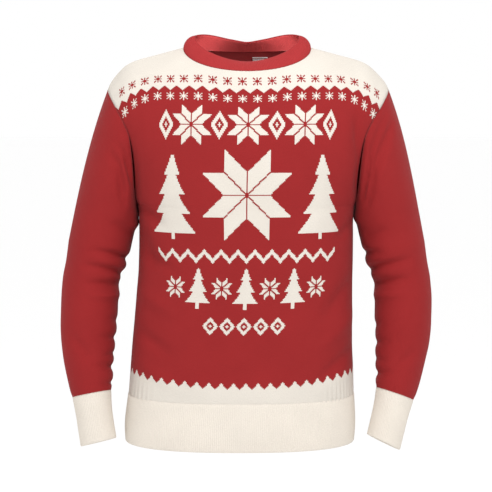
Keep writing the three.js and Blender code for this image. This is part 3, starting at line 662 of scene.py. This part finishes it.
def rib_tree():
    tree = bpy.data.node_groups.new("ribbed_band", "GeometryNodeTree")
    face = tree.interface
    face.new_socket("Band", in_out="INPUT", socket_type="NodeSocketGeometry")
    for name, value in (("Rib pitch", RIB_PITCH * 0.001), ("Rib height", RIB_HEIGHT * 0.001)):
        face.new_socket(name, in_out="INPUT", socket_type="NodeSocketFloat").default_value = value
    face.new_socket("Yarn", in_out="INPUT", socket_type="NodeSocketMaterial")
    face.new_socket("Band", in_out="OUTPUT", socket_type="NodeSocketGeometry")
    nodes, links = tree.nodes, tree.links
    given, result = nodes.new("NodeGroupInput"), nodes.new("NodeGroupOutput")

    def calc(operation, *values):
        node = nodes.new("ShaderNodeMath")
        node.operation = operation
        for slot, value in enumerate(values):
            if isinstance(value, bpy.types.NodeSocket):
                links.new(value, node.inputs[slot])
            else:
                node.inputs[slot].default_value = value
        return node.outputs[0]

    def stored(name):
        node = nodes.new("GeometryNodeInputNamedAttribute")
        node.data_type = "FLOAT"
        node.inputs["Name"].default_value = name
        return node.outputs[0]

    phase = calc("MULTIPLY", calc("DIVIDE", stored("round_band"), given.outputs["Rib pitch"]), 2 * math.pi)
    wave = calc("COSINE", phase)
    outside = calc("SUBTRACT", 1.0, calc("MULTIPLY", stored("reverse_side"), 2.0))
    lift = calc("MULTIPLY", calc("MULTIPLY", wave, outside), given.outputs["Rib height"])
    normal = nodes.new("GeometryNodeInputNormal")
    scale = nodes.new("ShaderNodeVectorMath")
    scale.operation = "SCALE"
    links.new(normal.outputs["Normal"], scale.inputs[0])
    links.new(lift, scale.inputs["Scale"])
    move, real, paint = (nodes.new("GeometryNode" + kind) for kind in
                         ("SetPosition", "RealizeInstances", "SetMaterial"))
    links.new(given.outputs["Band"], move.inputs["Geometry"])
    links.new(scale.outputs[0], move.inputs["Offset"])
    links.new(move.outputs[0], real.inputs[0])
    links.new(real.outputs[0], paint.inputs["Geometry"])
    links.new(given.outputs["Yarn"], paint.inputs["Material"])
    links.new(paint.outputs[0], result.inputs[0])
    return tree


def set_inputs(modifier, **values):
    names = {item.name: item.identifier for item in modifier.node_group.interface.items_tree
             if item.in_out == "INPUT"}
    for name, value in values.items():
        modifier[names[name.replace("_", " ")]] = value


def made_plain(piece):
    # The finished mesh of a piece, in place of its modifiers.
    shown = piece.evaluated_get(bpy.context.evaluated_depsgraph_get())
    mesh = bpy.data.meshes.new_from_object(shown)
    piece.modifiers.clear()
    old, piece.data = piece.data, mesh
    bpy.data.meshes.remove(old)
    return piece


def ribbed(piece, yarn):
    mesh = piece.data
    layer = np.empty(len(mesh.loops) * 2, np.float32)
    mesh.uv_layers["cloth"].data.foreach_get("uv", layer)
    corner = np.empty(len(mesh.loops), np.int32)
    mesh.loops.foreach_get("vertex_index", corner)
    round_band = np.zeros(len(mesh.vertices), np.float32)
    round_band[corner] = layer.reshape(-1, 2)[:, 0]
    mesh.attributes.new("round_band", "FLOAT", "POINT").data.foreach_set("value", round_band)
    modifier = piece.modifiers.new("ribs", "NODES")
    modifier.node_group = ribs
    set_inputs(modifier, Rib_pitch=RIB_PITCH * 0.001, Yarn=yarn)
    return made_plain(piece)


ribs = rib_tree()
# The rib cream is the same yarn as the panels' cream, painted paler. This is painted light for the bands low
# on the garment, which get less light.
CREAM_PAINTED_PALER = (0.655, 0.60, 0.53, 1)
RIB_WALE, RIB_COURSE = RIB_PITCH * 0.0005, 0.0016
cream_rib = knit_yarn("cream_rib_knit", main=CREAM_PAINTED_PALER, wale=RIB_WALE, course=RIB_COURSE, relief=0.0001,
                      reverse=CREAM_PAINTED_PALER)
CUFF_RIBS, CUFF_ROWS, CUFF_RIM = 70, 29, 1
for arm in ("left", "right"):
    rows = np.linspace(CUFF_END_Z + CUFF_RIM, CUFF_Z, CUFF_ROWS)
    cuff = arm_piece(f"cuff_{arm}_rib", arm, rows, RIB_WALL, ["high"], rib=CUFF_RIBS * RIB_PITCH,
                     around_steps=CUFF_RIBS * STEPS_A_RIB)
    ribbed(cuff, cream_rib)
    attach(cuff, "root")
    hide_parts(f"cuff_{arm}")

# Hem band: a deep band of the same cream rib in two halves, joined at the sides and linked to the
# panels. It stands a little proud of them and draws in at its lower edge.
HEM_Z, HEM_RIM, HEM_ROWS = -667, 1.5, 22
HEM_PROUD, HEM_DRAW_IN = 0.6, 2.2
HEM_RIBS = {"front": 166, "back": 162}
for face, ribs_across in HEM_RIBS.items():
    columns = FACING[face] * (1 - 2 * np.linspace(0, 1, ribs_across * STEPS_A_RIB + 1))
    rise, across = np.meshgrid(np.linspace(0, 1, HEM_ROWS), columns, indexing="ij")
    z = HEM_Z + HEM_RIM + (HEM_SEAM_Z - HEM_Z - HEM_RIM) * rise
    angle = np.abs(across) * math.pi / 2
    proud = HEM_PROUD - HEM_DRAW_IN * (1 - rise) ** 4
    reach, deep = read(TORSO, "reach", z) + proud, read(TORSO, face, z) + proud
    lean = read(TORSO, "lean", z)

    def band_place(inset):
        out = np.sign(across) * (reach - inset) * super_round(np.sin(angle))
        return np.stack([lean + out, FACING[face] * (deep - inset) * super_round(np.cos(angle)), z], -1)

    dip = roll_in(band_place(0), False, ["high", "left", "right"])
    outer, inner = band_place(dip), band_place(dip + RIB_WALL)
    around = length_along(band_place(0), 1)
    around = (around / around[:, -1:] - 0.5) * ribs_across * RIB_PITCH
    along = length_along(band_place(0), 0).mean(1, keepdims=True) + 0 * around
    band = knit_wall(f"hem_band_{face}_rib", outer, inner, np.stack([around, along], -1))
    ribbed(band, cream_rib)
    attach(band, "root")
    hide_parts(f"hem_band_{face}")

# Neckband: red rib, linked to the neck edge all round. It rises and curves in over the open neck,
# by the slopes at its start and top, in degrees from upright, given for places round the neck.
BAND_WIDTH, BAND_ROWS = 29, 16
BAND = sizes("around start top", [
    (-25, 47, 31), (0, 36, 22), (25, 47, 31), (50, 70, 46), (90, 84, 12), (135, 64, 14), (180, 48, 16),
    (225, 64, 14),
])
NECK_RIBS = 200
NECK_STEPS = NECK_RIBS * STEPS_A_RIB


def round_the_torso(turn, reach, up):
    # Places on the torso at one height, from the middle of the back all the way round.
    share = reach * np.arcsin(np.sin(turn)) / (math.pi / 2)
    back, front = (torso_places(face, share, up) for face in ("back", "front"))
    return np.where((np.cos(turn) > 0)[..., None], back, front)


turn, rise = np.meshgrid(-2 * math.pi * np.arange(NECK_STEPS) / NECK_STEPS, np.linspace(0, 1, BAND_ROWS))
neck_edge = round_the_torso(turn, NECK_SHARE, 2)
around = np.degrees(np.arccos(np.clip(np.cos(turn), -1, 1)))
start = np.radians(read(BAND, "start", around))
bend = np.radians(read(BAND, "top", around)) - start
angle = start + bend * rise
inward = -neck_edge * [1, 1, 0]
inward /= np.linalg.norm(inward, axis=-1, keepdims=True)
up_by = BAND_WIDTH * (np.cos(start) - np.cos(angle)) / bend
base = neck_edge + inward * (BAND_WIDTH * (np.sin(angle) - np.sin(start)) / bend)[..., None]
base[..., 2] = neck_edge[..., 2] + up_by
band_out = -inward * np.sin(angle)[..., None] + np.array([0, 0, 1]) * np.cos(angle)[..., None]
outer = base - band_out * roll_in(base, True, ["low"])[..., None]
closed = np.concatenate([base, base[:, :1]], 1)
around = length_along(closed, 1)
around = around / around[:, -1:] * NECK_RIBS * RIB_PITCH
along = length_along(closed, 0)
neckband = knit_wall("neckband_rib", outer, outer - band_out * RIB_WALL, np.stack([around, along], -1),
                     ring=True)
# The second colour, for the reverse of the neckband, is the rib's red painted far paler: painted light on
# the inside of the band, which faces away from the key light.
RED_RIB, RED_RIB_INSIDE_PAINTED_LIT = (0.33, 0.028, 0.030, 1), (0.85, 0.11, 0.112, 1)
red_rib = knit_yarn("red_rib_knit", main=RED_RIB, wale=RIB_WALE, course=RIB_COURSE, relief=0.0002,
                    reverse=RED_RIB_INSIDE_PAINTED_LIT)
ribbed(neckband, red_rib)
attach(neckband, "root")
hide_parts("neckband")

# Neck label: a blank tab of white satin, sewn by its upper edge inside the back of the neck. Like
# the one in the photo, it sits to the wearer's left of the middle.
LABEL = {"x": 22, "top": 10, "width": 26, "height": 30, "clear": 0.9, "thick": 0.7}
rise, u = np.meshgrid(np.linspace(0, 1, 19), np.linspace(0, 1, 17), indexing="ij")
label_x = LABEL["x"] + LABEL["width"] * (0.5 - u)
down = LABEL["top"] + LABEL["height"] * (1 - rise)
base = torso_places("back", NECK_SHARE * np.arcsin(label_x / NECK_HALF) / (math.pi / 2),
                    2 - np.arccos(1 + 2 * down / ARMPIT_Z) / math.pi)
label_out = outward(base)
near_side = base - label_out * (KNIT_WALL + LABEL["clear"])
label_cloth = np.stack([LABEL["width"] * (u - 0.5), LABEL["height"] * rise], -1)
label = knit_wall("neck_label_satin", near_side, near_side - label_out * LABEL["thick"], label_cloth)


def satin(name):
    material = bpy.data.materials.new(name)
    material.use_nodes = True
    tree = material.node_tree
    nodes, links = tree.nodes, tree.links
    shader = nodes["Principled BSDF"]
    flat = nodes.new("ShaderNodeUVMap")
    flat.uv_map = "cloth"
    threads = nodes.new("ShaderNodeTexWave")
    threads.bands_direction = "Y"
    threads.inputs["Scale"].default_value = 320
    threads.inputs["Distortion"].default_value = 0.6
    links.new(flat.outputs["UV"], threads.inputs["Vector"])
    tint = nodes.new("ShaderNodeValToRGB")
    tint.color_ramp.elements[0].color = (0.80, 0.79, 0.77, 1)
    tint.color_ramp.elements[1].color = (0.92, 0.91, 0.90, 1)
    links.new(threads.outputs["Fac"], tint.inputs[0])
    links.new(tint.outputs[0], shader.inputs["Base Color"])
    bump = nodes.new("ShaderNodeBump")
    bump.inputs["Distance"].default_value = 0.0001
    links.new(threads.outputs["Fac"], bump.inputs["Height"])
    links.new(bump.outputs[0], shader.inputs["Normal"])
    shader.inputs["Roughness"].default_value = 0.4
    return material


label.data.materials.append(satin("white_satin_weave"))
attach(label, "root")
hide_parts("neck_label")

# Linked seams: a chain of small yarn stitches closes each seam, in the groove between the two edges.
# Each stitch is a bead of yarn that lies along the seam and leans across it.
STITCH_LENGTH, STITCH_WIDTH, STITCH_LEAN, SEAM_DEPTH = 0.0024, 0.0013, 0.5, 0.35


def stitch_tree():
    tree = bpy.data.node_groups.new("linked_stitches", "GeometryNodeTree")
    face = tree.interface
    face.new_socket("Seam", in_out="INPUT", socket_type="NodeSocketGeometry")
    numbers = (("Stitch length", STITCH_LENGTH), ("Stitch width", STITCH_WIDTH), ("Lean", STITCH_LEAN))
    for name, value in numbers:
        face.new_socket(name, in_out="INPUT", socket_type="NodeSocketFloat").default_value = value
    face.new_socket("Yarn", in_out="INPUT", socket_type="NodeSocketMaterial")
    face.new_socket("Stitches", in_out="OUTPUT", socket_type="NodeSocketGeometry")

    def node(kind, **settings):
        made = tree.nodes.new(kind)
        for key, value in settings.items():
            setattr(made, key, value)
        return made

    def join(source, target):
        tree.links.new(source, target)

    given, result = node("NodeGroupInput"), node("NodeGroupOutput")
    curve, points = node("GeometryNodeMeshToCurve"), node("GeometryNodeCurveToPoints", mode="LENGTH")
    join(given.outputs["Seam"], curve.inputs["Mesh"])
    join(curve.outputs[0], points.inputs["Curve"])
    join(given.outputs["Stitch length"], points.inputs["Length"])
    out = node("GeometryNodeInputNamedAttribute", data_type="FLOAT_VECTOR")
    out.inputs["Name"].default_value = "seam_out"
    lengthwise = node("FunctionNodeAlignRotationToVector", axis="X")
    join(points.outputs["Tangent"], lengthwise.inputs["Vector"])
    upright = node("FunctionNodeAlignRotationToVector", axis="Z", pivot_axis="X")
    join(lengthwise.outputs[0], upright.inputs["Rotation"])
    join(out.outputs["Attribute"], upright.inputs["Vector"])
    turn, lean = node("ShaderNodeCombineXYZ"), node("FunctionNodeEulerToRotation")
    join(given.outputs["Lean"], turn.inputs["Z"])
    join(turn.outputs[0], lean.inputs[0])
    leant = node("FunctionNodeRotateRotation", rotation_space="LOCAL")
    join(upright.outputs[0], leant.inputs["Rotation"])
    join(lean.outputs[0], leant.inputs["Rotate By"])
    bead, smooth = node("GeometryNodeMeshUVSphere"), node("GeometryNodeSetShadeSmooth")
    bead.inputs["Segments"].default_value = 8
    bead.inputs["Rings"].default_value = 5
    join(bead.outputs["Mesh"], smooth.inputs["Geometry"])
    size = node("ShaderNodeCombineXYZ")
    half_sizes = (("X", "Stitch length", 0.68), ("Y", "Stitch width", 0.5), ("Z", "Stitch width", 0.42))
    for axis, source, share in half_sizes:
        part = node("ShaderNodeMath", operation="MULTIPLY")
        join(given.outputs[source], part.inputs[0])
        part.inputs[1].default_value = share
        join(part.outputs[0], size.inputs[axis])
    place, real, paint = (node("GeometryNode" + kind) for kind in
                          ("InstanceOnPoints", "RealizeInstances", "SetMaterial"))
    join(points.outputs["Points"], place.inputs["Points"])
    join(smooth.outputs[0], place.inputs["Instance"])
    join(leant.outputs[0], place.inputs["Rotation"])
    join(size.outputs[0], place.inputs["Scale"])
    join(place.outputs[0], real.inputs[0])
    join(real.outputs[0], paint.inputs["Geometry"])
    join(given.outputs["Yarn"], paint.inputs["Material"])
    join(paint.outputs[0], result.inputs[0])
    return tree


def spun_yarn(name, colour):
    material = bpy.data.materials.new(name)
    material.use_nodes = True
    tree = material.node_tree
    nodes, links = tree.nodes, tree.links
    shader = nodes["Principled BSDF"]
    place, fibre = nodes.new("ShaderNodeTexCoord"), nodes.new("ShaderNodeTexNoise")
    fibre.inputs["Scale"].default_value = 1800
    fibre.inputs["Detail"].default_value = 2
    links.new(place.outputs["Object"], fibre.inputs["Vector"])
    tint = nodes.new("ShaderNodeValToRGB")
    tint.color_ramp.elements[0].color = (*(0.8 * c for c in colour[:3]), 1)
    tint.color_ramp.elements[1].color = colour
    links.new(fibre.outputs["Fac"], tint.inputs[0])
    links.new(tint.outputs[0], shader.inputs["Base Color"])
    bump = nodes.new("ShaderNodeBump")
    bump.inputs["Distance"].default_value = 0.0002
    links.new(fibre.outputs["Fac"], bump.inputs["Height"])
    links.new(bump.outputs[0], shader.inputs["Normal"])
    shader.inputs["Roughness"].default_value = 0.9
    shader.inputs["Sheen Weight"].default_value = 0.03
    return material


def ring_out(places):
    along = np.roll(places, -1, 0) - np.roll(places, 1, 0)
    out = np.cross(along, [0, 0, 1.0])
    return out / np.linalg.norm(out, axis=-1, keepdims=True)


def linked_seam(name, places, out, yarn, closed=False, deep=SEAM_DEPTH):
    mesh = bpy.data.meshes.new(name)
    count = len(places)
    edges = [(k, (k + 1) % count) for k in range(count if closed else count - 1)]
    mesh.from_pydata(((places - out * deep) * 0.001).tolist(), edges, [])
    normal = mesh.attributes.new("seam_out", "FLOAT_VECTOR", "POINT")
    normal.data.foreach_set("vector", (out + 0 * places).astype(np.float32).ravel())
    piece = bpy.data.objects.new(name, mesh)
    bpy.context.scene.collection.objects.link(piece)
    modifier = piece.modifiers.new("stitches", "NODES")
    modifier.node_group = stitches
    set_inputs(modifier, Yarn=yarn)
    made_plain(piece)
    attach(piece, "root")
    return piece


stitches = stitch_tree()
red_yarn, cream_yarn = spun_yarn("red_linking_yarn", RED), spun_yarn("cream_linking_yarn", CREAM_PAINTED_PALER)
RING_STEPS, SIDE_STEPS, SHOULDER_STEPS, CREAM_STEPS = 480, 200, 60, 28
all_round = 2 * math.pi * np.arange(RING_STEPS) / RING_STEPS
hem_ring = round_the_torso(all_round, 1, 0)
linked_seam("hem_linking", hem_ring, -ring_out(hem_ring), cream_yarn, closed=True)
linked_seam("neck_linking", neck_edge[0], band_out[0], red_yarn, closed=True)
label_row = near_side[-2] - label_out[-2] * LABEL["thick"]
linked_seam("label_stitching", label_row, -label_out[-2], red_yarn, deep=0)
for arm, side in SIDE.items():
    turns = -side * all_round
    armhole = np.stack([cap_places(arm, turns, 0 * turns + down) for down in (0.02, 0)])
    armhole_out = outward(armhole, ring=True)[1]
    linked_seam(f"armhole_{arm}_linking", armhole[1], armhole_out, red_yarn, closed=True)
    wrist = arm_places(arm, turns, CUFF_Z + 0 * turns)
    linked_seam(f"cuff_{arm}_linking", wrist, ring_out(wrist), cream_yarn, closed=True)
    flank, flank_out = torso_places("front", side, np.linspace(0, 1, SIDE_STEPS)), np.array([side, 0, 0])
    linked_seam(f"side_{arm}_linking", flank[CREAM_STEPS:], flank_out, red_yarn)
    linked_seam(f"side_{arm}_lower_linking", flank[:CREAM_STEPS], flank_out, cream_yarn)
    shoulder = torso_places("front", side * np.linspace(NECK_SHARE, 1, SHOULDER_STEPS), 2)
    linked_seam(f"shoulder_{arm}_linking", shoulder, np.array([0, 0, 1]), cream_yarn)

# Camera, floor and light: a white studio, with the camera at the height of the neck. A soft key
# light hangs in front and above, with a weak fill on each side and a light behind for the edges.
TARGET = np.array([-0.0017, 0, -0.335])
CAMERA_AWAY, CAMERA_ABOVE = 3.0, math.radians(6)
FRAME_WIDTH = 0.8364
camera = bpy.data.objects.new("camera", bpy.data.cameras.new("camera"))
camera.data.sensor_width = 36
camera.data.lens = 36 * CAMERA_AWAY / FRAME_WIDTH
camera.location = TARGET + CAMERA_AWAY * np.array([0, -math.cos(CAMERA_ABOVE), math.sin(CAMERA_ABOVE)])
camera.rotation_euler = (math.pi / 2 - CAMERA_ABOVE, 0, 0)
camera.data.clip_end = 100
bpy.context.scene.collection.objects.link(camera)
bpy.context.scene.camera = camera

FLOOR_Z, FLOOR_HALF = -1.45, 30
floor_mesh = bpy.data.meshes.new("floor")
floor_corners = [(x * FLOOR_HALF, y * FLOOR_HALF, FLOOR_Z) for x, y in ((-1, -1), (1, -1), (1, 1), (-1, 1))]
floor_mesh.from_pydata(floor_corners, [], [(0, 1, 2, 3)])
floor = bpy.data.objects.new("floor", floor_mesh)
bpy.context.scene.collection.objects.link(floor)
pale = bpy.data.materials.new("pale_floor")
pale.use_nodes = True
pale_shader = pale.node_tree.nodes["Principled BSDF"]
pale_shader.inputs["Base Color"].default_value = (0.99, 0.99, 0.99, 1)
pale_shader.inputs["Roughness"].default_value = 0.9
floor_mesh.materials.append(pale)

world = bpy.data.worlds.new("studio")
world.use_nodes = True
sky = world.node_tree.nodes["Background"]
sky.inputs["Color"].default_value = (1, 1, 1, 1)
sky.inputs["Strength"].default_value = 1.0
bpy.context.scene.world = world
bpy.context.scene.view_settings.view_transform = "Standard"


LIGHT_AIM = np.array([0, 0, -0.3])


def studio_light(name, place, size, watts):
    lamp = bpy.data.lights.new(name, "AREA")
    lamp.shape, lamp.size, lamp.energy = "SQUARE", size, watts
    light = bpy.data.objects.new(name, lamp)
    light.location = place
    aim = LIGHT_AIM - np.array(place)
    light.rotation_euler = (math.atan2(math.hypot(aim[0], aim[1]), -aim[2]), 0,
                            math.atan2(aim[1], aim[0]) - math.pi / 2)
    bpy.context.scene.collection.objects.link(light)


studio_light("key_light", (0.2, -1.3, 1.1), 0.8, 21)
studio_light("left_fill_light", (1.5, -1.8, 0.1), 1.0, 3.5)
studio_light("right_fill_light", (-1.5, -1.8, 0.1), 1.0, 3.5)
studio_light("back_light", (-0.3, 2.0, 1.0), 1.2, 14)
